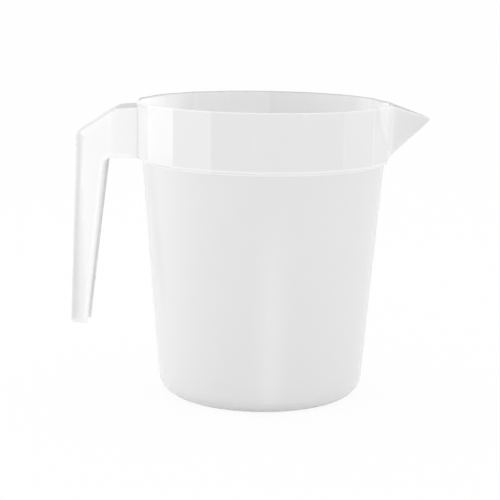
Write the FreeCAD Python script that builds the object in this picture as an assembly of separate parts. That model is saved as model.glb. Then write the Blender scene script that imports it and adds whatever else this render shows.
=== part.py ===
"""Stackable pitcher: one moulding with a round tapered body, a faceted collar, a pointed
spout, and a hollow handle that hangs from the collar and is free at its foot.

The origin is the centre of the base. +Z is up, +X points to the spout, the handle is at -X.
"""
import FreeCAD, Part
import math
import os

from FreeCAD import Vector

# Driving dimensions, in millimetres and degrees
height = 167.0              # base to rim
wall = 1.4                  # thickness of the moulding

facet_count = 18            # flats round the collar, one of them facing the spout
rim_flat = 70.0             # axis to a flat, at the rim
foot_flat = 69.7            # axis to a flat, at the collar's foot
handle_flat_step = 1.3      # the flat behind the handle stands this far outside the others
collar_height = 31.5        # rim to the foot of the flats
chamfer_height = 1.4        # chamfer under the flats
ledge = 0.4                 # flat ring between the chamfer and the body
ledge_lift = 1.05           # the ledge inside lies this far above the one outside

stack_clearance = 0.3       # between the body and the inside of the next pitcher's rim
base_inset = 10.8           # the body's side runs in by this from its top to the table
base_corner = 11.5          # outside radius of the corner round the base
base_push = 0.8             # the middle of the base is pushed up by this
base_ring = 12.0            # width of the flat ring that stands on the table

spout_reach = 23.2          # collar's flat to the tip
spout_drop = 8.0            # rim to the tip
spout_keel_rise = 1.0       # foot of the flats to the start of the keel
spout_keel_radius = 6.0     # rounding of the keel where it leaves the collar
spout_blunt = 0.05          # the blunt tip is this share of the spout's section at the collar

handle_top_drop = 3.8       # rim to the handle's top
handle_top_reach = 12.5     # collar's flat to the start of the slope
handle_slope = 33.0         # slope of the shoulder
handle_reach = 35.5         # collar's flat to the back, at the shoulder
handle_back_lean = 1.9      # the back leans out by this towards the foot
handle_foot = 38.0          # table to the handle's foot
bridge_drop = 32.3          # rim to the underside of the bridge
grip_depth = 16.7           # finger side to back, at the bridge
grip_lean = 6.4             # the finger side leans out by this towards the foot
bend_reach = 15.7           # collar's flat to the upright bend in the handle's sides
half_width_top = 13.3       # half the width of the bridge, at the handle's top
half_width_foot = 8.1       # the same at the foot's level
half_width_back = 7.7       # half the width of the back
shoulder_radius = 5.8       # outside rounding between slope and back
crook_radius = 5.0          # rounding between bridge and finger side
foot_radius = 1.2           # rounding of the corners at the foot

# Sizes that follow
flat_angle = 360.0 / facet_count
collar_foot_z = height - collar_height
body_top_z = collar_foot_z - chamfer_height
body_top_radius = rim_flat - wall - stack_clearance
base_radius = body_top_radius - base_inset
draft = math.atan2(base_inset, body_top_z)
handle_top_z = height - handle_top_drop
bridge_z = height - bridge_drop
bend_x = -(rim_flat + bend_reach)
back_x = -(rim_flat + handle_reach)
finger_x = back_x + grip_depth
overrun = 5.0               # how far a cutting shape runs past what it cuts
mouth_overrun = 6.0         # the same for the spout's hollow, in depths of the spout


def crossing(angle_a, distance_a, angle_b, distance_b):
    """Where two lines of a plane cross. A line is the direction it faces and its distance."""
    ax, ay = math.cos(math.radians(angle_a)), math.sin(math.radians(angle_a))
    bx, by = math.cos(math.radians(angle_b)), math.sin(math.radians(angle_b))
    det = ax * by - ay * bx
    return (distance_a * by - distance_b * ay) / det, (ax * distance_b - bx * distance_a) / det


def reach_of(angle, x, y):
    """Distance from the origin of the line through x, y that faces an angle."""
    return x * math.cos(math.radians(angle)) + y * math.sin(math.radians(angle))


def stacked(wires):
    """A solid with straight sides between outlines of the same number of corners."""
    return Part.makeLoft(wires, True, True)


def collar_wire(flat, z):
    """The collar's outline at one level, with its step at the handle."""
    distances = [flat] * facet_count
    distances[facet_count // 2] += handle_flat_step
    points = []
    for i in range(facet_count):
        x, y = crossing(flat_angle * (i - 1), distances[i - 1], flat_angle * i, distances[i])
        points.append(Vector(x, y, z))
    return Part.makePolygon(points + points[:1])


def collar_block(inset, lift, top_z):
    """The collar as a full block: its flats and, under them, the chamfer."""
    slope = (rim_flat - foot_flat) / collar_height
    top = collar_wire(rim_flat - inset + slope * (top_z - height), top_z)
    foot = collar_wire(foot_flat - inset, collar_foot_z + lift)
    bottom = collar_wire(body_top_radius + ledge - inset, body_top_z + lift)
    return stacked([foot, top]).fuse(stacked([bottom, foot]))


def body_block(inset, bottom_z, top_z):
    """The tapered round body as a full block, its lower corner rounded."""
    side = base_radius - inset / math.cos(draft)
    cone = Part.makeCone(side + bottom_z * math.tan(draft), side + top_z * math.tan(draft),
                         top_z - bottom_z, Vector(0, 0, bottom_z))
    lower = [edge for edge in cone.Edges if edge.BoundBox.ZMax < bottom_z + 0.001]
    return cone.makeFillet(base_corner - inset, lower)


def base_disc(inset, z, thickness):
    """The pushed-up middle of the base, with sides at 45 degrees."""
    radius = base_radius - base_corner - base_ring + inset
    return Part.makeCone(radius, radius - thickness, thickness, Vector(0, 0, z))


def spout_outline():
    """Half of the spout's section in the collar's flat: mouth, end of the rounding, keel."""
    mouth = Vector(0, rim_flat * math.tan(math.radians(flat_angle / 2.0)), height)
    low_z = collar_foot_z + spout_keel_rise
    centre = Vector(0, 0, low_z + spout_keel_radius)
    to_mouth = mouth - centre
    turn = math.acos(spout_keel_radius / to_mouth.Length)
    angle = math.atan2(to_mouth.z, to_mouth.y) - turn
    touch = centre + Vector(0, math.cos(angle), math.sin(angle)) * spout_keel_radius
    return mouth, touch, Vector(0, 0, low_z)


def spout_block(inset, side_share, start_x):
    """The spout as a full block whose faces all run to one point, just past the blunt tip.

    Every face passes through that point, so moving the block sets all of them in by a wall.
    side_share carries the sides on upwards, past the mouth.
    """
    mouth, touch, keel = [p + Vector(rim_flat, 0, 0) for p in spout_outline()]
    reach = spout_reach / (1.0 - spout_blunt)
    tip = Vector(rim_flat + reach, 0, height - spout_drop / (1.0 - spout_blunt))
    side = (mouth - tip).cross(touch - tip).normalize()
    side = side if side.y > 0 else side * -1
    keel_face = math.degrees(math.atan2(keel.x - tip.x, tip.z - keel.z))
    side_face = math.degrees(math.atan2(side.z, side.x))
    shift_x, shift_z = crossing(side_face, -inset / math.hypot(side.x, side.z), keel_face, -inset)
    shift = Vector(shift_x, 0, shift_z)
    upper = touch + (mouth - touch) * side_share

    def section(share):
        p = [tip + (q - tip) * share + shift for q in (upper, touch, keel)]
        left = [Vector(q.x, -q.y, q.z) for q in p]
        return Part.Wire([Part.makeLine(left[0], left[1]),
                          Part.Arc(left[1], p[2], p[1]).toShape(),
                          Part.makeLine(p[1], p[0]),
                          Part.makeLine(p[0], left[0])])

    start_share = (tip.x + shift.x - start_x) / reach
    return stacked([section(start_share), section(spout_blunt)])


def side_view_slab(corners, half_width):
    """A slab across the handle. Each corner of its side view is x, z and a rounding."""
    edges = []
    ends = []
    for i in range(len(corners)):
        x, z, radius = corners[i]
        after = corners[(i + 1) % len(corners)]
        here = Vector(x, -half_width, z)
        back = (Vector(corners[i - 1][0], -half_width, corners[i - 1][1]) - here).normalize()
        on = (Vector(after[0], -half_width, after[1]) - here).normalize()
        half = back.getAngle(on) / 2.0
        start, end = here + back * (radius / math.tan(half)), here + on * (radius / math.tan(half))
        waist = here + (back + on).normalize() * (radius / math.sin(half) - radius)
        ends.append((start, end))
        if radius > 0:
            edges.append(Part.Arc(start, waist, end).toShape())
    for i in range(len(ends)):
        edges.append(Part.makeLine(ends[i - 1][1], ends[i][0]))
    face = Part.Face(Part.Wire(Part.sortEdges(edges)[0]))
    return face.extrude(Vector(0, 2.0 * half_width, 0))


def back_corners(inset, foot_z, root_x):
    """Top, slope and back of the handle in its side view, set in by a wall."""
    slope_face = 90.0 + handle_slope
    back_face = 180.0 - handle_back_lean
    slope_reach = reach_of(slope_face, -(rim_flat + handle_top_reach), handle_top_z)
    shoulder_z = crossing(slope_face, slope_reach, 180.0, -back_x)[1]
    back_reach = reach_of(back_face, back_x, shoulder_z)
    top_corner = crossing(90.0, handle_top_z - inset, slope_face, slope_reach - inset)
    shoulder = crossing(slope_face, slope_reach - inset, back_face, back_reach - inset)
    foot = crossing(back_face, back_reach - inset, -90.0, -foot_z)
    return [(root_x, handle_top_z - inset, 0.0), (top_corner[0], top_corner[1], 0.0),
            (shoulder[0], shoulder[1], shoulder_radius - inset), (foot[0], foot[1], 0.0)]


def handle_sides(inset):
    """The space between the handle's sides: parallel in the bridge, closing in to the back."""
    def half_width(z):
        share = (z - handle_foot) / (handle_top_z - handle_foot)
        return half_width_foot + (half_width_top - half_width_foot) * share

    def outline(z):
        outward = back_x - overrun - bend_x
        narrowing = (half_width_back - half_width(z)) / (back_x - bend_x)
        w = half_width(z) - inset
        w_out = w + narrowing * outward
        corners = [(0.0, -w), (bend_x, -w), (bend_x + outward, -w_out)]
        corners += [(x, -y) for x, y in reversed(corners)]
        points = [Vector(x, y, z) for x, y in corners]
        return Part.makePolygon(points + points[:1])

    return stacked([outline(handle_foot - overrun), outline(handle_top_z + overrun)])


def make_handle():
    """A channel that is closed at its top and back and open to the fingers and the table."""
    root_x = -(foot_flat - overrun)
    finger_foot_x = finger_x - (bridge_z - handle_foot) * math.tan(math.radians(grip_lean))
    outer = back_corners(0.0, handle_foot, root_x)
    outer[-1] = outer[-1][:2] + (foot_radius,)
    outer += [(finger_foot_x, handle_foot, foot_radius), (finger_x, bridge_z, crook_radius),
              (root_x, bridge_z, 0.0)]
    inner = back_corners(wall, handle_foot - overrun, root_x + overrun)
    inner.append((root_x + overrun, handle_foot - overrun, 0.0))
    channel = side_view_slab(inner, half_width_top + overrun).common(handle_sides(wall))
    return side_view_slab(outer, half_width_top + overrun).common(handle_sides(0.0)).cut(channel)


def make_pitcher():
    """Full blocks fused, hollowed by the same blocks set in by a wall, then the handle."""
    below_rim = Part.makeBox(400, 400, height, Vector(-200, -200, 0))
    outside = body_block(0.0, 0.0, body_top_z).fuse(collar_block(0.0, 0.0, height))
    outside = outside.fuse(spout_block(0.0, 1.0, rim_flat - wall).common(below_rim))
    hollow = body_block(wall, wall, body_top_z + ledge_lift)
    hollow = hollow.fuse(collar_block(wall, ledge_lift, height + overrun))
    hollow = hollow.fuse(spout_block(wall, mouth_overrun, rim_flat - overrun))
    cup = outside.cut(hollow)
    cup = cup.fuse(base_disc(wall, wall, base_push)).cut(base_disc(0.0, 0.0, base_push))
    pitcher = cup.fuse(make_handle().cut(hollow)).removeSplitter()
    return pitcher.Solids[0] if len(pitcher.Solids) == 1 else pitcher


os.makedirs("parts", exist_ok=True)
shape = make_pitcher()
shape.exportStep("parts/pitcher.step")
print("solids", len(shape.Solids), "valid", shape.isValid(), "faces", len(shape.Faces))
print("volume cm3", round(shape.Volume / 1000.0, 2), "box", shape.BoundBox)
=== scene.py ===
import bpy
import math
import numpy as np
from mathutils import Matrix, Vector


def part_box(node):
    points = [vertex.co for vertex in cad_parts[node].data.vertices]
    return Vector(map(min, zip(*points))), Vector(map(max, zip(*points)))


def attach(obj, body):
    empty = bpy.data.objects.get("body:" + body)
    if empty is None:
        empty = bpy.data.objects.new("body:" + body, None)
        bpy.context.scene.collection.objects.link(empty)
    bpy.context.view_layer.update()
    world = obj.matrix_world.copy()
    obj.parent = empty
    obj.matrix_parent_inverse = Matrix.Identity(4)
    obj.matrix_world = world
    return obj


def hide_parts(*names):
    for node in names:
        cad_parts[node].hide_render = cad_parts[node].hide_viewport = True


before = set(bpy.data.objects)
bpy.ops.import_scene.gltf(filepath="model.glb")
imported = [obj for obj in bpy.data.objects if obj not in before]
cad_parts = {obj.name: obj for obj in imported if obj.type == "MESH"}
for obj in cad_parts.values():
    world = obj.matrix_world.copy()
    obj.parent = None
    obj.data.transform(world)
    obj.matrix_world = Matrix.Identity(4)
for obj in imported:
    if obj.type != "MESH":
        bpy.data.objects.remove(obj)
bpy.context.view_layer.update()
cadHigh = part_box("pitcher")[1]
mm = 0.001


def roundMin(a, b, width):
    # lower of two values, with the crease between them rounded over this width
    return 0.5 * (a + b - np.sqrt((a - b) ** 2 + width ** 2))


def roundMax(a, b, width):
    # higher of two values, rounded over in the same way
    return 0.5 * (a + b + np.sqrt((a - b) ** 2 + width ** 2))


def roundedPath(corners, arcSteps):
    # corners are rows of (x, z, radius, steps to the next corner, further values); each corner
    # becomes an arc tangent to both of its straights, and each straight is divided evenly
    rows = []
    ends = []
    points = np.array([c[:2] for c in corners], float)
    for i, corner in enumerate(corners):
        radius = corner[2]
        if radius == 0 or i in (0, len(corners) - 1):
            ends.append(points[i][None, :])
            continue
        back = points[i - 1] - points[i]
        on = points[i + 1] - points[i]
        back, on = back / np.linalg.norm(back), on / np.linalg.norm(on)
        half = math.acos(np.clip(back @ on, -1, 1)) / 2
        middle = (back + on) / np.linalg.norm(back + on)
        centre = points[i] + middle * radius / math.sin(half)
        start = points[i] + back * radius / math.tan(half) - centre
        side = points[i] + on * radius / math.tan(half) - centre
        turn = math.pi - 2 * half
        t = np.linspace(0, 1, arcSteps + 1)[:, None]
        ends.append(centre + (start * np.sin((1 - t) * turn) + side * np.sin(t * turn)) / math.sin(turn))
    for i, corner in enumerate(corners):
        extra = np.array(corner[4:], float)
        for p in ends[i]:
            rows.append(np.concatenate([p, extra]))
        if i + 1 < len(corners):
            nextExtra = np.array(corners[i + 1][4:], float)
            for t in np.linspace(0, 1, corner[3] + 1)[1:-1]:
                spot = ends[i][-1] * (1 - t) + ends[i + 1][0] * t
                rows.append(np.concatenate([spot, extra * (1 - t) + nextExtra * t]))
    return np.array(rows)


def bell(distance, width):
    # 1 where the distance is nought, fading to 0 beyond the width like a bell
    return np.exp(-(distance / width) ** 2)


def fade(value, start, length):
    # 0 up to the start, then evenly up to 1 over the length
    return np.clip((value - start) / length, 0, 1)


def gridFaces(rows, columns, wrap):
    # four-sided faces between neighbouring rows and columns of a grid
    i, j = np.meshgrid(np.arange(rows - 1), np.arange(columns if wrap else columns - 1), indexing="ij")
    k = (j + 1) % columns
    return np.stack([i * columns + j, i * columns + k, (i + 1) * columns + k, (i + 1) * columns + j],
                    axis=-1).reshape(-1, 4)


def newPiece(name, points, faces):
    # a mesh from points and four-sided faces; -1 as a face's last corner leaves a triangle
    mesh = bpy.data.meshes.new(name)
    mesh.from_pydata(points.tolist(), [], [[v for v in f if v >= 0] for f in faces])
    mesh.validate()
    piece = bpy.data.objects.new(name, mesh)
    bpy.context.scene.collection.objects.link(piece)
    return piece


# the cup is one closed wall: base, round body, faceted collar and spout; sizes here and in the
# handle are in millimetres
cup = {
    "wall": 1.4,
    "facets": 18,
    "handleStep": 1.3,         # the flat behind the handle stands this far out
    "footFlat": 0.3,           # the flats lean in by this from rim to foot
    "collarHeight": 31.5,
    "chamfer": 1.4,
    "ledge": 0.4,
    "ledgeLift": 1.05,         # the ledge inside lies this much higher
    "clearance": 0.3,          # the body is this much smaller than the inside of the rim
    "bodyTaper": 10.8,
    "baseCorner": 11.5,
    "basePush": 0.8,
    "baseRing": 12.0,
    "ringRound": 0.5,
    "poleRadius": 0.5,         # the innermost ring of points, round the middle of the base
    "rimRound": 0.45,
    "ledgeRound": 0.35,
    "chamferRound": 0.18,
    "bodyTopRound": 0.15,
    "facetRound": 0.08,        # width over which two flats blend, at their shared corner
    "spoutDrop": 7.4,
    "spoutKeelRise": 1.0,
    "spoutKeelRadius": 6.0,
    "spoutBlunt": 0.05,
    "mouthRound": 0.3,         # length over which the mouth's edge starts to fall
    "spoutBlend": 2.0,         # width over which the spout blends into the flats
    "tipRound": 0.9,
    # paleness is painted light and shade in the colour: 0 as on the body, up to 1 painted paler where light
    # gathers, below 0 painted shade where it doesn't;
    # Reach and asideFrom are shares of a flat round from the spout, onWall and inWall shares of the
    # thickness
    "asideFrom": 0.45,         # beyond the spout's own flat
    "onWall": 0.2,             # nearer the outer face than this, for the rim's pale line
    "inWall": 0.55,            # deeper than this is the inside
    # painted highlight lines along the ledge, at the collar's foot and at the top of the body
    "ledgeOffset": 0.1,
    "ledgeWidth": 0.4,
    "ledgeFootWidth": 0.35,
    "cornerGlow": 0.06,        # painted highlight lines on the upright corners: how pale they are; those towards the spout are palest
    "cornerWidth": 0.35,
    "seamWidth": 2.2,          # painted pale line where the spout leaves the collar
    "seamReach": 0.75,
    "openingGlow": 0.6,        # painted light wedge on the flats beside the mouth of the spout
    "openingReach": 1.5,
    "openingPast": 1.0,        # furthest out, beyond the flats
    "openingBack": 7.0,
    "openingRise": 6.5,
    "openingHeight": 24.0,
    "openingCurve": 1.5,
    "openingFade": 2.0,
    "openingFoot": 26.0,
    "openingFootFade": 3.0,
    # painted light over the whole spout, with painted shade towards its tip
    "spoutPale": 0.15,
    "spoutShade": 0.36,        # painted shade: the spout darkens towards its tip
    # painted highlight along the outer edge of the rim
    "rimPale": 0.2,
    "rimLine": 0.4,
    "rimShade": 1.6,           # painted shade: the inner edge of the rim is darker than the outer
    "rimWidth": 0.5,
    # painted light and shade, a tone for each of the flats from the spout's round to the handle's: outside,
    # and added to the inside
    "flatPale": (0.12, 0.12, 0.12, 0.12, 0.12, 0.12, 0.28, 0.66, 0.5, 0.5),
    "insideFlats": (0.0, -0.05, 0.02, -0.35, -0.3, 0.15, 0.12, 0.06, 0.05, 0.05),
    "insidePale": 0.7,         # painted light and shade inside the collar, paler towards handle and spout
    "insideSides": 0.52,
    # painted shade inside the spout, painted light inside the body
    "spoutInside": 1.0,
    "bodyInside": 0.5,
    "paintedStreak": 0.2,           # painted highlight: a soft upright streak of light on the body
    "streakAngle": -1.43,        # radians round from the spout
    "streakWidth": 8.0,
    "streakTop": 115.0,
    "streakFade": 45.0,
    "streakFoot": 12.0,
    "towardHandle": 0.3,       # painted light: the body beside the handle is a little paler
    # painted shade, darker towards the bottom of the base
    "baseShade": 0.4,
    "baseWidth": 5.0,
}
rimZ = cadHigh.z / mm
flatAngle = 2 * math.pi / cup["facets"]
rimFlat = cadHigh.y / mm * math.cos(flatAngle / 2)
tipX = cadHigh.x / mm
collarFootZ = rimZ - cup["collarHeight"]
bodyTopZ = collarFootZ - cup["chamfer"]
bodyTopRadius = rimFlat - cup["wall"] - cup["clearance"]


def flatField(radius, angle, flat):
    # signed distance outside a ring of flats: the larger distance beyond the two nearest flats
    nearest = np.round(angle / flatAngle)
    local = angle - nearest * flatAngle
    other = nearest + np.where(local >= 0, 1, -1)
    step = [np.where(np.mod(k, cup["facets"]) == cup["facets"] // 2, cup["handleStep"], 0.0)
            for k in (nearest, other)]
    first = radius * np.cos(local) - step[0]
    second = radius * np.cos(flatAngle - np.abs(local)) - step[1]
    return roundMax(first, second, cup["facetRound"]) - flat


def spoutField(x, y, z):
    # signed distance outside the spout: its section is a round keel with two straight sides up
    # to the mouth, and it shrinks evenly to a point; the tip is cut blunt
    reach = (tipX - rimFlat) / (1 - cup["spoutBlunt"])
    pointZ = rimZ - cup["spoutDrop"] / (1 - cup["spoutBlunt"])
    keelRadius = cup["spoutKeelRadius"]
    centreZ = collarFootZ + cup["spoutKeelRise"] + keelRadius
    mouthY = rimFlat * math.tan(flatAngle / 2)
    toMouth = math.hypot(mouthY, rimZ - centreZ)
    lean = math.atan2(rimZ - centreZ, mouthY) - math.acos(keelRadius / toMouth)
    share = np.maximum((rimFlat + reach - x) / reach, 0.002)
    across = np.abs(y) / share
    up = pointZ + (z - pointZ) / share - centreZ
    length = np.sqrt(across ** 2 + up ** 2) + 1e-9
    onSide = up * math.cos(lean) - across * math.sin(lean) > 0
    normalZ = np.where(onSide, math.sin(lean), up / length)
    distance = np.where(onSide, across * math.cos(lean) + up * math.sin(lean), length) - keelRadius
    slant = (normalZ * (centreZ - pointZ) + keelRadius) / reach
    body = share * distance / np.sqrt(1 + slant ** 2)
    return roundMax(body, x - tipX, cup["tipRound"])


def cupColumns():
    # angles round the cup: close together at each corner between flats and across the spout
    corners = []
    for k in range(cup["facets"]):
        a, b = k * flatAngle, (k + 1) * flatAngle
        stepA = cup["handleStep"] if k == cup["facets"] // 2 else 0.0
        stepB = cup["handleStep"] if k + 1 == cup["facets"] // 2 else 0.0
        lines = np.array([[math.cos(a), math.sin(a)], [math.cos(b), math.sin(b)]])
        x, y = np.linalg.solve(lines, [rimFlat + stepA, rimFlat + stepB])
        corners.append(math.atan2(y, x) % (2 * math.pi))
    corners = np.array(corners)
    near = np.array([0, 0.006, 0.014, 0.03, 0.06, 0.12, 0.22, 0.35])
    spread = np.concatenate([near, [0.5], 1 - near[:0:-1]])
    angles = [a + (b - a) * spread for a, b in zip(corners[:-1], corners[1:])]
    # columns across the spout crowd towards its middle
    t = np.linspace(-1, 1, 65)[1:-1]
    across = np.sign(t) * np.abs(t) ** 1.5 * flatAngle / 2
    angles.append(-flatAngle / 2 + flatAngle * near[:4])
    angles.append(across)
    angles.append(flatAngle / 2 - flatAngle * near[3:0:-1])
    return np.unique(np.round(np.concatenate(angles) % (2 * math.pi), 7))


def cupRows():
    # the wall's outline from the middle of the base, up the outside, over the rim and down the
    # inside: radius, height, share of facets, and how far inside the outer face
    wall, base = cup["wall"], bodyTopRadius - cup["bodyTaper"]
    lean = math.hypot(1, cup["bodyTaper"] / bodyTopZ)
    ring = base - cup["baseCorner"] - cup["baseRing"]
    push, lift = cup["basePush"], cup["ledgeLift"]
    footFlat = rimFlat - cup["footFlat"]
    small, rim, ringRound = cup["ledgeRound"], cup["rimRound"], cup["ringRound"]
    topRound, chamferRound, pole = cup["bodyTopRound"], cup["chamferRound"], cup["poleRadius"]
    innerBase = base - wall * lean + cup["bodyTaper"] * wall / bodyTopZ
    innerTopZ = bodyTopZ + lift
    innerTop = base - wall * lean + cup["bodyTaper"] * innerTopZ / bodyTopZ
    chamferFlat = bodyTopRadius + cup["ledge"]
    outer = roundedPath([
        (pole, push, 0, 5, 0, 0), (ring - push, push, ringRound, 1, 0, 0),
        (ring, 0, ringRound, 4, 0, 0),
        (base, 0, cup["baseCorner"], 14, 0, 0),
        (bodyTopRadius - cup["bodyTaper"] / bodyTopZ, bodyTopZ - 1, 0, 2, 0, 0),
        (bodyTopRadius, bodyTopZ, topRound, 2, 0, 0),
        (chamferFlat, bodyTopZ, chamferRound, 3, 1, 0), (footFlat, collarFootZ, small, 44, 1, 0),
        (rimFlat, rimZ, rim, 1, 1, wall / 2), (rimFlat - wall / 2, rimZ, 0, 1, 1, wall / 2)], 6)
    inner = roundedPath([
        (rimFlat - wall / 2, rimZ, 0, 1, 1, wall / 2), (rimFlat - wall, rimZ, rim, 44, 1, wall),
        (footFlat - wall, collarFootZ + lift, small, 3, 1, wall),
        (chamferFlat - wall, innerTopZ, chamferRound, 2, 1, wall),
        (innerTop, innerTopZ, topRound, 12, 0, wall),
        (innerBase, wall, cup["baseCorner"] - wall, 4, 0, wall),
        (ring + wall, wall, ringRound, 1, 0, wall),
        (ring + wall - push, wall + push, ringRound, 5, 0, wall),
        (pole, wall + push, 0, 1, 0, wall)], 6)
    rows = np.concatenate([outer, inner[1:]])
    # how far each row lies inside the outer face, which the spout follows too
    radius, height, facets = rows[:, 0], rows[:, 1], rows[:, 2]
    face = rimFlat + cup["footFlat"] * (height - rimZ) / cup["collarHeight"]
    inset = np.where(height > collarFootZ + lift, face - radius, np.where(rows[:, 3] > wall / 2, wall, 0))
    return radius, height, facets, np.clip(inset, 0, wall)


def cupPoints():
    # every point is where a ray from the axis, at its column's angle and its row's height, meets
    # the blend of flats and spout; the mouth's edge falls towards the tip
    angle = cupColumns()[None, :]
    around = np.abs(np.angle(np.exp(1j * angle)))
    radius, height, facets, inset = [v[:, None] for v in cupRows()]
    slope = cup["spoutDrop"] / (tipX - rimFlat)

    def mouthZ(r):
        ahead = r * np.cos(angle) - rimFlat
        return rimZ - slope * 0.5 * (ahead + np.sqrt(ahead ** 2 + cup["mouthRound"] ** 2))

    def field(r, z):
        spout = spoutField(r * np.cos(angle), r * np.sin(angle), z) + inset
        # further round than one flat's angle the spout counts as far away
        spout = np.where(around < flatAngle, spout, 100.0)
        return roundMin(flatField(r, angle, radius), spout, cup["spoutBlend"])

    def solve(levelOf):
        # halves the stretch that holds the surface, time after time, for every point at once
        low = np.full(np.broadcast(angle, radius).shape, 0.6 * rimFlat)
        high = np.full_like(low, tipX + 5)
        for _ in range(44):
            middle = 0.5 * (low + high)
            outside = levelOf(middle) > 0
            high = np.where(outside, middle, high)
            low = np.where(outside, low, middle)
        return 0.5 * (low + high)

    topZ = mouthZ(solve(lambda r: field(r, mouthZ(r))))
    aboveFoot = (height - collarFootZ) / (rimZ - collarFootZ)
    z = np.where(height > collarFootZ, collarFootZ + aboveFoot * (topZ - collarFootZ), height)
    r = radius * (1 - facets) + facets * solve(lambda q: field(q, z))
    z = np.broadcast_to(z, r.shape)
    points = np.stack([r * np.cos(angle), r * np.sin(angle), z], axis=-1)
    toSeam = flatField(r, angle, radius) - spoutField(points[..., 0], points[..., 1], z) - inset
    return points, cupPaintedLightAndShade(points, angle, height, facets, inset, toSeam)


def cupPaintedLightAndShade(points, angle, height, facets, inset, toSeam):
    # painted light and shade: pale lines painted along ledge, rim, corners and the spout's seam, a painted
    # light wedge beside the mouth and a painted tone for each flat, whichever is palest; then the spout's
    # painted shade, the inside's painted light and shade, the painted highlight streak and the painted
    # shade at the base
    c, wall = cup, cup["wall"]
    x, z = points[..., 0], points[..., 2]
    around = np.abs(np.angle(np.exp(1j * angle)))
    flatNumber = np.round(around / flatAngle).astype(int)
    inCollar, onBody = height > collarFootZ, (facets < 0.5) * (inset == 0)

    # painted highlight lines along both edges of the ledge
    ledge = bell(height - collarFootZ - c["ledgeOffset"], c["ledgeWidth"])
    ledge = ledge + bell(height - bodyTopZ, c["ledgeFootWidth"])
    ledge = ledge * (inset < wall / 2)
    # painted highlight along the rim's outer edge
    outerRim = c["rimPale"] * bell(height - rimZ, c["rimLine"]) * inCollar * (inset < c["onWall"] * wall)
    # painted highlight lines on the upright corners
    toCorner = np.abs((angle / flatAngle) % 1 - 0.5) * flatAngle * rimFlat
    cornerGlow = c["cornerGlow"] + (1 - c["cornerGlow"]) * np.maximum(np.cos(angle), 0) ** 3
    aside = around > flatAngle * c["asideFrom"]
    corner = facets * aside * cornerGlow * bell(toCorner, c["cornerWidth"])
    # painted pale line along the spout's seam
    seam = facets * (around < flatAngle * c["seamReach"]) * bell(toSeam, c["seamWidth"])
    # painted light wedge beside the mouth of the spout
    rise = np.clip((rimZ - z) / c["openingHeight"], 0, 1) ** c["openingCurve"]
    opening = rimFlat - c["openingBack"] + c["openingRise"] * rise
    beside = facets * (around < flatAngle * c["openingReach"]) * (x < rimFlat + c["openingPast"])
    wedge = c["openingGlow"] * beside * fade(x, opening, c["openingFade"])
    wedge = wedge * fade(z, rimZ - c["openingFoot"], c["openingFootFade"])
    # painted light and shade: a tone for each flat
    flats = facets * np.array(c["flatPale"])[flatNumber]
    pale = 0
    for part in (ledge, outerRim, corner, seam, wedge, flats):
        pale = np.maximum(pale, part)

    # painted light on the spout, painted shade towards its tip
    ahead = facets * (1 - aside) * fade(x, rimFlat, tipX - rimFlat)
    pale = pale + (c["spoutPale"] * (ahead > 0) - c["spoutShade"] * ahead) * (1 - pale)
    # painted shade along the inner edge of the rim
    rimEdge = bell(height - rimZ, c["rimWidth"]) * inCollar
    # painted light and shade inside the collar
    gathered = c["insidePale"] + c["insideSides"] * np.cos(angle) ** 2 - c["spoutInside"] * (ahead > 0)
    gathered = np.maximum(gathered + np.array(c["insideFlats"])[flatNumber], corner)
    gathered = gathered * (1 - rimEdge) - c["rimShade"] * rimEdge
    pale = np.where((inset > wall * c["inWall"]) & inCollar, gathered, pale)
    # painted highlight streak down the body
    fromStreak = np.abs(np.angle(np.exp(1j * (angle - c["streakAngle"])))) * bodyTopRadius
    streakHeight = np.clip((c["streakTop"] - height) / c["streakFade"], 0, 1) * fade(height, 0, c["streakFoot"])
    pale = pale + c["paintedStreak"] * bell(fromStreak, c["streakWidth"]) * streakHeight * onBody
    # painted light on the body beside the handle
    pale = pale + c["towardHandle"] * np.maximum(-np.cos(angle), 0) ** 2 * onBody
    # painted light inside the body
    pale = np.where((inset > 0) & ~inCollar, c["bodyInside"], pale)
    # painted shade towards the bottom
    return pale - c["baseShade"] * bell(height, c["baseWidth"])


def makeCup():
    # the grid of points, closed in the middle of the base outside and inside
    points, pale = cupPoints()
    rows, columns = points.shape[:2]
    faces = gridFaces(rows, columns, True)
    flat = points.reshape(-1, 3)
    poles = np.array([[0, 0, points[0, :, 2].mean()], [0, 0, points[-1, :, 2].mean()]])
    j = np.arange(columns)
    k = (j + 1) % columns
    last = (rows - 1) * columns
    none = np.full(columns, -1)
    bottom = np.stack([np.full(columns, len(flat)), k, j, none], axis=-1)
    top = np.stack([np.full(columns, len(flat) + 1), last + j, last + k, none], axis=-1)
    piece = newPiece("pitcherCup", np.concatenate([flat, poles]) * mm, np.concatenate([faces, bottom, top]))
    return piece, np.concatenate([pale.ravel(), pale[0, :1], pale[-1, :1]])


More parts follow.
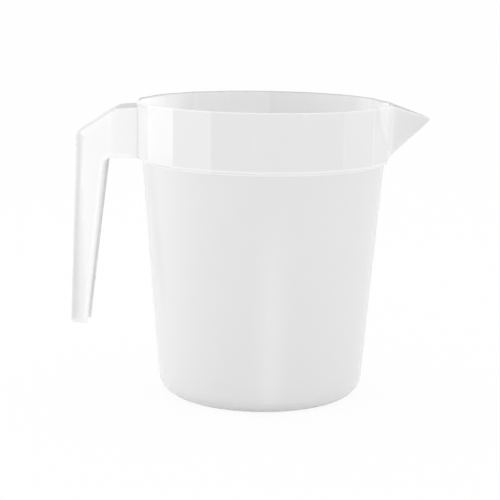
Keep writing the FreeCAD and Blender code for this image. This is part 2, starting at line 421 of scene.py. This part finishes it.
# the handle is a channel that hangs from the collar, open to the fingers and at its foot; slope
# and leans are in degrees, and each reach is measured from the collar's flats
handle = {
    "topDrop": 3.0,            # from the rim down to the level top
    "topReach": 12.5,          # where the slope starts
    "slope": 33.0,
    "reach": 35.5,             # where the back starts
    "backLean": 1.86,
    "foot": 38.0,              # height of the foot
    "bridgeDrop": 32.3,        # from the rim down to the bridge's lower edge
    "gripDepth": 16.7,
    "gripLean": 6.4,
    "bendReach": 15.7,         # where the sides start to close in
    "halfTop": 13.3,           # half widths at the top, the foot and the back
    "halfFoot": 8.1,
    "halfBack": 7.7,
    "shoulderRound": 5.8,
    "topRound": 1.5,
    "crookRound": 5.0,
    "backRound": 0.9,          # rounding of the wall's middle between side and back
    "rootLength": 8.0,         # the sides are drawn to the collar over this length
    "bendRound": 0.375,        # width over which the two planes of a side blend
    "beadWidth": 1.6,          # the free edges are thickened over this width
    "bead": 0.3,               # and by this on each face
    "edgeLeft": 0.04,          # share of the thickness left where an edge's half circle ends
    # paleness, the painted light and shade, as in the cup
    # painted light on sides, channel and bead; above 1 it glows faintly
    "sidePale": 1.03,
    "channelPale": 1.14,
    "beadPale": 1.06,
    "channelEdge": 0.1,        # painted shade on the channel's free edges, which are thick
    "edgeWidth": 0.4,
    # painted highlight band along the foot
    "footWidth": 2.0,
    "rootGlow": 0.03,          # painted light beside the collar
    "rootOffset": 1.0,
    "rootWidth": 2.0,
    "bendLine": 0.04,          # faint painted highlight line where the two planes of a side meet
    "bendWidth": 1.0,
    "backShade": -0.1,         # painted shade: grey band beside the outer edge, darker towards the foot
    "footShade": 0.5,
    "topBand": 0.2,            # widths of the band on the top, the slope and the back
    "slopeBand": 0.8,
    "backBand": 2.6,
    "backMargin": 1.5,         # the back's band starts this far short of the back itself
    "bandEdge": 0.5,
    "backFade": 7.0,           # how wide the band's edge has become at the foot
    "backFadeFrom": 126.0,
    "backFadeLength": 76.0,
    "bendGlow": 0.05,          # painted highlight line beside the band
    "bendGlowWidth": 3.5,
    # width of the painted highlight line along the outer edge
    "outerLine": 0.7,
    "topShade": 1.4,           # painted shade: the level top face is grey
    "topLine": 0.35,
}


def handleSideView():
    # the inner edge and the outer face in side view, matched station by station: level along the
    # bridge, turning about the crook's centre, then down the grip
    h = handle
    topZ, bridgeZ = rimZ - h["topDrop"], rimZ - h["bridgeDrop"]
    backX = -(rimFlat + h["reach"])
    fingerX = backX + h["gripDepth"]
    footZ = h["foot"] + cup["wall"] / 2
    fingerFootX = fingerX - (bridgeZ - footZ) * math.tan(math.radians(h["gripLean"]))
    slopeX = -(rimFlat + h["topReach"])
    shoulderZ = topZ - (slopeX - backX) * math.tan(math.radians(h["slope"]))
    backFootX = backX - (shoulderZ - footZ) * math.tan(math.radians(h["backLean"]))
    rootX = -rimFlat
    outer = roundedPath([(rootX, topZ, 0, 30), (slopeX, topZ, h["topRound"], 30),
                         (backX, shoulderZ, h["shoulderRound"], 60), (backFootX, footZ, 0, 1)], 12)
    inner = roundedPath([(rootX, bridgeZ, 0, 1), (fingerX, bridgeZ, h["crookRound"], 1),
                         (fingerFootX, footZ, 0, 1)], 16)
    crookStart, crookEnd = inner[1], inner[-2]
    centre = crookStart - np.array([0, h["crookRound"]])
    ray = np.unwrap(np.arctan2(outer[:, 1] - centre[1], outer[:, 0] - centre[0]))
    endRay = math.atan2(crookEnd[1] - centre[1], crookEnd[0] - centre[0])
    turn = np.linspace(math.pi / 2, endRay, 40)
    fan = np.stack([np.interp(turn, ray, outer[:, 0]), np.interp(turn, ray, outer[:, 1])], axis=-1)
    fanInner = centre + h["crookRound"] * np.stack([np.cos(turn), np.sin(turn)], axis=-1)
    along = np.linspace(0, 1, 14)[:-1, None]
    bridgeOuter = np.array([rootX, topZ]) * (1 - along) + fan[0] * along
    bridgeInner = np.array([rootX, bridgeZ]) * (1 - along) + fanInner[0] * along
    down = np.concatenate([np.linspace(0, 0.97, 26)[1:], [0.985, 0.995, 1.0]])[:, None]
    gripOuter = fan[-1] * (1 - down) + outer[-1] * down
    gripInner = fanInner[-1] * (1 - down) + inner[-1] * down
    return np.concatenate([bridgeInner, fanInner, gripInner]), np.concatenate([bridgeOuter, fan, gripOuter])


def halfWidth(x, z):
    # sides: parallel near the collar, closing in to the back beyond the bend, narrower downwards
    h = handle
    topZ = rimZ - h["topDrop"]
    straight = h["halfFoot"] + (h["halfTop"] - h["halfFoot"]) * (z - h["foot"]) / (topZ - h["foot"])
    bendX = -(rimFlat + h["bendReach"])
    backX = -(rimFlat + h["reach"])
    closing = straight + (h["halfBack"] - straight) * (x - bendX) / (backX - bendX)
    return roundMin(straight, closing, h["bendRound"])


def handleMiddle():
    # the middle of the handle's wall, station by station, from one free edge round the back to
    # the other; also how far each point lies from its free edge and from the outer edge
    half, r = cup["wall"] / 2, handle["backRound"]
    inner, outer = handleSideView()
    depth = np.linalg.norm(outer - inner, axis=1)[:, None]
    toward = (outer - inner) / depth
    full = depth - half
    first = half + handle["bead"]
    beadPart = first + np.linspace(0, 1.3, 9)[None, :] * handle["beadWidth"] + 0 * full
    fromBead = beadPart[:, -1:]
    wallPart = fromBead + (full - r - fromBead) * np.array([[0.15, 0.3, 0.45, 0.6, 0.75, 0.9, 0.97]])
    turn = np.linspace(0, math.pi / 2, 8)[None, :]
    cornerPart = full - r + r * np.sin(turn)
    backShare = np.array([[0.96, 0.85, 0.6, 0.3, 0.0]])
    sunk = np.concatenate([beadPart, wallPart, cornerPart, full + 0 * backShare], axis=1)
    x = inner[:, :1] + toward[:, :1] * sunk
    z = inner[:, 1:] + toward[:, 1:] * sunk
    y = halfWidth(x, z) - half
    corner = beadPart.shape[1] + wallPart.shape[1]
    y[:, corner:corner + 8] -= r * (1 - np.cos(turn))
    y[:, corner + 8:] = y[:, corner + 7:corner + 8] * backShare
    # the root runs into the middle of the collar's wall
    flatX = rimFlat + cup["handleStep"] - half
    sideX = (rimFlat - half - np.abs(y) * math.sin(flatAngle)) / math.cos(flatAngle)
    root = np.clip((x + rimFlat + handle["rootLength"]) / handle["rootLength"], 0, 1)
    x = x + (rimFlat - np.minimum(flatX, sideX)) * root
    side = np.stack([x, y, z], axis=-1)
    middle = np.concatenate([side, side[:, -2::-1] * np.array([1, -1, 1])], axis=1)
    sunk, full = np.concatenate([sunk, sunk[:, -2::-1]], axis=1), np.broadcast_to(full, x.shape)
    return middle, sunk - first, full[:, :1] - sunk


def handlePaintedLightAndShade(middle, edge, toBack):
    # painted light and shade: a painted grey band of shade beside the outer edge, its share going from 0 to
    # 1 into the side; then the painted pale lines at bend, root, free edges and foot; the channel is
    # painted pale but for its free edges, which get painted shade
    h = handle
    x, z = middle[..., 0], middle[..., 2]
    backX, backZ = [middle[:, middle.shape[1] // 2, k, None] for k in (0, 2)]
    onTop = backX > -(rimFlat + h["topReach"])
    onBack = backX < -(rimFlat + h["reach"] - h["backMargin"])
    down = np.clip((h["backFadeFrom"] - backZ) / h["backFadeLength"], 0, 1) * onBack
    bandStart = np.where(onTop, h["topBand"], np.where(onBack, h["backBand"] * (1 - down), h["slopeBand"]))
    bandWidth = h["bandEdge"] + h["backFade"] * down
    share = fade(toBack, bandStart, bandWidth)
    beside = np.exp(-np.maximum(toBack - bandStart - bandWidth, 0) / h["bendGlowWidth"])
    beside = beside * (share > 0.99) * (1 - down) * ~onTop
    shade = h["backShade"] + h["footShade"] * down
    pale = h["sidePale"] * share - shade * (1 - share)
    pale = pale + h["bendGlow"] * (beside + bell(toBack, h["outerLine"]) * ~onTop)
    pale = pale - h["topShade"] * bell(toBack, h["topLine"]) * onTop
    pale = pale + h["bendLine"] * bell(x + rimFlat + h["bendReach"], h["bendWidth"]) * share
    pale = pale + h["rootGlow"] * bell(x + rimFlat + h["rootOffset"], h["rootWidth"]) * share
    # painted highlight along the bead of the free edges
    pale = pale + (h["beadPale"] - pale) * bell(edge, h["beadWidth"])
    # painted highlight band along the foot
    pale = pale + (1 - pale) * bell(z - h["foot"], h["footWidth"])
    # painted light in the channel, painted shade on its free edges
    channel = np.maximum(pale, h["channelPale"] * share)
    return pale, channel + (h["channelEdge"] - channel) * bell(edge, h["edgeWidth"])


def makeHandle():
    # both faces lie half a thickness to each side of the middle surface; at the free edges and
    # the foot the thickness closes in a half circle
    half = cup["wall"] / 2
    middle, edge, toBack = handleMiddle()
    pale, channel = handlePaintedLightAndShade(middle, edge, toBack)
    normal = np.cross(np.gradient(middle, axis=1), np.gradient(middle, axis=0))
    normal /= np.linalg.norm(normal, axis=2, keepdims=True)
    thick = half + handle["bead"] * 0.5 * (1 + np.cos(np.pi * np.clip(edge / handle["beadWidth"], 0, 1)))
    turn = np.linspace(0, math.pi / 2, 7)[1:]
    closing = np.maximum(np.cos(turn), handle["edgeLeft"])

    def carriedOn(middle, normal, thick, reach):
        # adds lanes past the last one, each further out and thinner
        out = middle[:, -1] - middle[:, -2]
        out /= np.linalg.norm(out, axis=1, keepdims=True)
        lanes = middle[:, -1:] + out[:, None] * (reach[:, None] * np.sin(turn)[None, :])[..., None]
        return (np.concatenate([middle, lanes], axis=1),
                np.concatenate([normal, np.repeat(normal[:, -1:], len(turn), axis=1)], axis=1),
                np.concatenate([thick, thick[:, -1:] * closing[None, :]], axis=1))

    for _ in range(2):
        middle, normal, thick = carriedOn(middle, normal, thick, thick[:, -1])
        middle, normal, thick = middle[:, ::-1], normal[:, ::-1], thick[:, ::-1]
    footReach = np.full(middle.shape[1], half)
    turned = [np.swapaxes(a, 0, 1) for a in (middle, normal, thick)]
    middle, normal, thick = [np.swapaxes(a, 0, 1) for a in carriedOn(*turned, footReach)]

    added = len(turn)
    pale, channel = [np.pad(a, ((0, added), (added, added)), mode="edge") for a in (pale, channel)]
    rows, columns = thick.shape
    front = (middle + normal * thick[..., None]).reshape(-1, 3)
    back = (middle - normal * thick[..., None]).reshape(-1, 3)
    faces = gridFaces(rows, columns, False)
    i, j = np.arange(rows - 1), np.arange(columns - 1)
    last = (rows - 1) * columns
    rims = [(i * columns, (i + 1) * columns), ((i + 1) * columns + columns - 1, i * columns + columns - 1),
            (j + 1, j), (last + j, last + j + 1)]
    size = rows * columns
    strips = [np.stack([a, b, b + size, a + size], axis=-1) for a, b in rims]
    piece = newPiece("pitcherHandle", np.concatenate([front, back]) * mm,
                     np.concatenate([faces, faces[:, ::-1] + size] + strips))
    return piece, np.concatenate([channel.ravel(), pale.ravel()])


cupPiece, cupPale = makeCup()
print("cup:", len(cupPiece.data.vertices), "points")
handlePiece, handlePale = makeHandle()
print("handle:", len(handlePiece.data.vertices), "points")

moulding = {
    "jointPaintedLight": 0.9,      # painted pale line where handle and collar meet
    "sharpFrom": 32,           # edges that turn by more degrees than this stay sharp
}


def vertexPlaces(mesh):
    # one whole number for each vertex, from its place in thousandths of a millimetre
    places = np.empty(len(mesh.vertices) * 3, np.float32)
    mesh.vertices.foreach_get("co", places)
    steps = np.round(places.astype(float).reshape(-1, 3) * 1e6).astype(np.int64) + 2 ** 19
    return steps @ np.array([1, 2 ** 20, 2 ** 40])


def asOnePiece(name, first, second, paintedLightAndShade):
    # one moulding: the two closed walls are united where the handle runs into the collar, and
    # each vertex keeps the painted light and shade (paleness) that it had in its own wall
    known = np.concatenate([vertexPlaces(first.data), vertexPlaces(second.data)])
    order = np.argsort(known)
    union = first.modifiers.new("union", "BOOLEAN")
    union.operation = "UNION"
    union.solver = "EXACT"
    union.object = second
    evaluated = first.evaluated_get(bpy.context.evaluated_depsgraph_get())
    mesh = bpy.data.meshes.new_from_object(evaluated)
    mesh.name = name
    for old in (first, second):
        bpy.data.objects.remove(old)
    places = vertexPlaces(mesh)
    source = order[np.clip(np.searchsorted(known, places, sorter=order), 0, len(order) - 1)]
    kept = known[source] == places
    pale = np.where(kept, paintedLightAndShade[source], moulding["jointPaintedLight"]).astype(np.float32)
    mesh.attributes.new("paintedLightAndShade", "FLOAT", "POINT").data.foreach_set("value", pale)
    print("places kept:", np.count_nonzero(kept), "of", len(places))
    piece = bpy.data.objects.new(name, mesh)
    bpy.context.scene.collection.objects.link(piece)
    mesh.shade_smooth()
    mesh.set_sharp_from_angle(angle=math.radians(moulding["sharpFrom"]))
    return piece


pitcher = asOnePiece("pitcherMoulding", cupPiece, handlePiece, np.concatenate([cupPale, handlePale]))
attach(pitcher, "root")
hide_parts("pitcher")
print("moulding:", len(pitcher.data.vertices), "points", len(pitcher.data.polygons), "faces")


class Wire:
    # a shader socket that takes part in sums: each operator adds the Math node it needs
    def __init__(self, tree, socket):
        self.tree = tree
        self.socket = socket

    def node(self, kind, settings=(), **inputs):
        # settings come first; inputs go by name, with _ for a space, or by number as i0, i1, i2
        made = self.tree.nodes.new(kind)
        for name, value in dict(settings).items():
            setattr(made, name, value)
        for name, value in inputs.items():
            socket = made.inputs[int(name[1:]) if name[1:].isdigit() else name.replace("_", " ")]
            if isinstance(value, Wire):
                self.tree.links.new(value.socket, socket)
            else:
                socket.default_value = value
        return made

    def out(self, made, name=0):
        return Wire(self.tree, made.outputs[name])

    def math(self, operation, a, b=0.0):
        return self.out(self.node("ShaderNodeMath", {"operation": operation}, i0=a, i1=b))

    def __add__(self, other):
        return self.math("ADD", self, other)

    def __mul__(self, other):
        return self.math("MULTIPLY", self, other)

    def __sub__(self, other):
        return self.math("SUBTRACT", self, other)

    def __rsub__(self, other):
        return self.math("SUBTRACT", other, self)

    __radd__ = __add__
    __rmul__ = __mul__

    def step(self, low, high):
        # 0 below low, 1 above high, smooth between
        made = self.node("ShaderNodeMapRange", {"interpolation_type": "SMOOTHSTEP"}, Value=self,
                         From_Min=low, From_Max=high)
        return self.out(made)


plastic = {
    "deepShadeColour": (0.4, 0.4, 0.4, 1.0),        # paleness -2: darkest painted shade, on the thick edges
    "shadeColour": (0.7, 0.7, 0.7, 1.0),       # paleness -1: painted shade
    "bodyColour": (0.815, 0.815, 0.815, 1.0),  # paleness 0
    "paleColour": (1.0, 1.0, 1.0, 1.0),        # paleness 1: painted light; what is above 1 is painted light that glows faintly
    "bodyRoughness": 0.22,
    "clearRoughness": 0.1,     # collar and handle
    "scatter": 0.0012,         # how far light wanders inside the wall, in metres
    "bodyAlpha": 1.0,
    "collarAlpha": 0.97,
    "handleAlpha": 1.0,
    "handleSolid": 0.35,       # share of the handle's surface that is plain matt colour
    "handleFrom": 71.0,        # the handle starts this far out to its own side
    "handleFade": 1.0,
    "collarFrom": -0.4,        # the collar's plastic starts here, from the top of the body
    "collarFade": 2.0,
    "dullFrom": 1.0,           # edges with paleness below minus this turn matt,
    "dullTo": 1.5,             # wholly so by here
    "refraction": 1.49,
    "grainScale": 2600.0,
    "grainStrength": 0.05,
    "grainDepth": 0.0002,
}


def newMaterial(name):
    material = bpy.data.materials.new(name)
    material.use_nodes = True
    material.node_tree.nodes.clear()
    return material, Wire(material.node_tree, None)


def makePlastic():
    material, w = newMaterial("milkyPlastic")
    p = plastic
    place = w.out(w.node("ShaderNodeTexCoord"), "Object")
    apart = w.node("ShaderNodeSeparateXYZ", Vector=place)
    collarFrom, handleFrom = (bodyTopZ + p["collarFrom"]) * mm, p["handleFrom"] * mm
    collar = w.out(apart, "Z").step(collarFrom, collarFrom + p["collarFade"] * mm)
    handleSide = (0 - w.out(apart, "X")).step(handleFrom, handleFrom + p["handleFade"] * mm)
    clear = w.math("MAXIMUM", collar, handleSide)
    grain = w.out(w.node("ShaderNodeTexNoise", Vector=place, Scale=p["grainScale"], Detail=2.0))
    bump = w.out(w.node("ShaderNodeBump", Height=grain * (1 - clear), Strength=p["grainStrength"],
                        Distance=p["grainDepth"]))
    roughness = p["bodyRoughness"] + clear * (p["clearRoughness"] - p["bodyRoughness"])
    # the painted light and shade of each vertex
    pale = w.out(w.node("ShaderNodeAttribute", {"attribute_name": "paintedLightAndShade"}), "Fac")
    # painted light and shade: paleness mixes the body colour towards painted shade and painted light
    colour = w.node("ShaderNodeMix", {"data_type": "RGBA"}, i0=pale + 1, i6=p["shadeColour"],
                    i7=p["bodyColour"])
    colour = w.node("ShaderNodeMix", {"data_type": "RGBA"}, i0=pale, i6=w.out(colour, 2),
                    i7=p["paleColour"])
    colour = w.node("ShaderNodeMix", {"data_type": "RGBA"}, i0=-1 - pale, i6=w.out(colour, 2),
                    i7=p["deepShadeColour"])
    # painted light: paleness above 1 is given off as a faint glow, though the plastic is no lamp
    glow = w.node("ShaderNodeMix", {"data_type": "RGBA"}, i0=w.math("MAXIMUM", pale - 1, 0.0),
                  i6=(0, 0, 0, 1), i7=(1, 1, 1, 1))
    milky = w.out(w.node("ShaderNodeBsdfPrincipled", Base_Color=w.out(colour, 2), Roughness=roughness,
                         IOR=p["refraction"], Normal=bump, Emission_Color=w.out(glow, 2),
                         Emission_Strength=1.0, Subsurface_Weight=1.0,
                         Subsurface_Radius=(1.0, 1.0, 1.0), Subsurface_Scale=p["scatter"]))
    solid = w.out(w.node("ShaderNodeBsdfPrincipled", Base_Color=w.out(colour, 2), Roughness=roughness,
                         Specular_IOR_Level=0.0, Emission_Color=w.out(glow, 2), Emission_Strength=1.0))
    dull = w.math("MAXIMUM", handleSide * p["handleSolid"], (0 - pale).step(p["dullFrom"], p["dullTo"]))
    milky = w.out(w.node("ShaderNodeMixShader", i0=dull, i1=milky, i2=solid))
    seeThrough = w.out(w.node("ShaderNodeBsdfTransparent"))
    alpha = p["bodyAlpha"] + clear * (p["collarAlpha"] - p["bodyAlpha"])
    alpha = alpha + handleSide * (p["handleAlpha"] - alpha)
    shader = w.out(w.node("ShaderNodeMixShader", i0=alpha, i1=seeThrough, i2=milky))
    w.node("ShaderNodeOutputMaterial", Surface=shader)
    return material


pitcher.data.materials.clear()
pitcher.data.materials.append(makePlastic())
print("plastic ready")

studio = {
    "floorColour": (0.92, 0.92, 0.92, 1.0),
    "floorGlow": 0.93,         # how far the floor shows plain white instead of its lit colour
    "floorReach": 40.0,
    "worldLight": 0.95,
    "aim": (0, 0, 0.1),
    "lamps": {                 # place, width and height, watts
        "softLeft": ((-0.7, 0.1, 0.36), (0.6, 0.7), 0.6),
        "softRight": ((0.8, 0.05, 0.36), (0.4, 0.7), 0.2),
        "softTop": ((0.1, 0.2, 1.3), (1.0, 1.0), 0.8),
    },
}


def seenDirectly(w):
    # 1 for what the camera, a reflection or a clear part shows, 0 for light on matt surfaces
    ray = w.node("ShaderNodeLightPath")
    through = w.math("MAXIMUM", w.out(ray, "Is Glossy Ray"), w.out(ray, "Is Transmission Ray"))
    return w.math("MAXIMUM", w.out(ray, "Is Camera Ray"), through)


def makeFloor():
    size = studio["floorReach"]
    corners = [(-size, -size, 0), (size, -size, 0), (size, size, 0), (-size, size, 0)]
    mesh = bpy.data.meshes.new("floor")
    mesh.from_pydata(corners, [], [(0, 1, 2, 3)])
    floor = bpy.data.objects.new("floor", mesh)
    bpy.context.scene.collection.objects.link(floor)
    material, w = newMaterial("paleFloor")
    seen = seenDirectly(w)
    matt = w.node("ShaderNodeBsdfDiffuse", Color=studio["floorColour"])
    glow = w.node("ShaderNodeEmission", Color=(1, 1, 1, 1), Strength=1.0)
    mix = w.node("ShaderNodeMixShader", i0=seen * studio["floorGlow"], i1=w.out(matt), i2=w.out(glow))
    w.node("ShaderNodeOutputMaterial", Surface=w.out(mix))
    mesh.materials.append(material)


def makeWorld():
    world = bpy.data.worlds.new("studioWorld")
    bpy.context.scene.world = world
    world.use_nodes = True
    world.node_tree.nodes.clear()
    w = Wire(world.node_tree, None)
    seen = seenDirectly(w)
    strength = studio["worldLight"] + seen * (1 - studio["worldLight"])
    back = w.node("ShaderNodeBackground", Color=(1, 1, 1, 1), Strength=strength)
    w.node("ShaderNodeOutputWorld", Surface=w.out(back))


def makeLamp(name, place, target, size, power):
    data = bpy.data.lights.new(name, "AREA")
    data.shape = "RECTANGLE"
    data.size, data.size_y = size
    data.energy = power
    lamp = bpy.data.objects.new(name, data)
    bpy.context.scene.collection.objects.link(lamp)
    lamp.location = place
    lamp.rotation_euler = (Vector(target) - Vector(place)).to_track_quat("-Z", "Y").to_euler()


# angles in degrees, distances in metres, lens and sensor in millimetres
camera = {
    "azimuth": 2.88,           # how far the camera stands round from the front
    "elevation": 10.06,
    "distance": 0.9124,
    "lookUpTo": 0.0883,        # height that the elevation is measured about
    "turn": 0.43,
    "pitch": 10.46,
    "roll": 0.85,
    "lens": 115.0,
    "sensor": 36.0,
    "clipEnd": 200.0,
}


def makeCamera():
    c = camera
    a, e = math.radians(c["azimuth"]), math.radians(c["elevation"])
    place = Vector((math.sin(a) * math.cos(e), -math.cos(a) * math.cos(e), math.sin(e))) * c["distance"]
    place.z += c["lookUpTo"]
    heading, pitch, roll = a + math.radians(c["turn"]), math.radians(c["pitch"]), math.radians(c["roll"])
    forward = Vector((-math.sin(heading) * math.cos(pitch), math.cos(heading) * math.cos(pitch),
                      -math.sin(pitch)))
    level = Vector((math.cos(heading), math.sin(heading), 0))
    upward = level.cross(forward)
    right = level * math.cos(roll) + upward * math.sin(roll)
    up = upward * math.cos(roll) - level * math.sin(roll)
    data = bpy.data.cameras.new("camera")
    data.lens = c["lens"]
    data.sensor_width = c["sensor"]
    data.clip_end = c["clipEnd"]
    shown = bpy.data.objects.new("camera", data)
    bpy.context.scene.collection.objects.link(shown)
    shown.matrix_world = Matrix.Translation(place) @ Matrix((right, up, -forward)).transposed().to_4x4()
    bpy.context.scene.camera = shown


makeFloor()
makeWorld()
for lampName, (lampPlace, lampSize, lampPower) in studio["lamps"].items():
    makeLamp(lampName, lampPlace, studio["aim"], lampSize, lampPower)
makeCamera()
scene = bpy.context.scene
scene.view_settings.view_transform = "Standard"
print("studio ready")

bpy.context.view_layer.update()
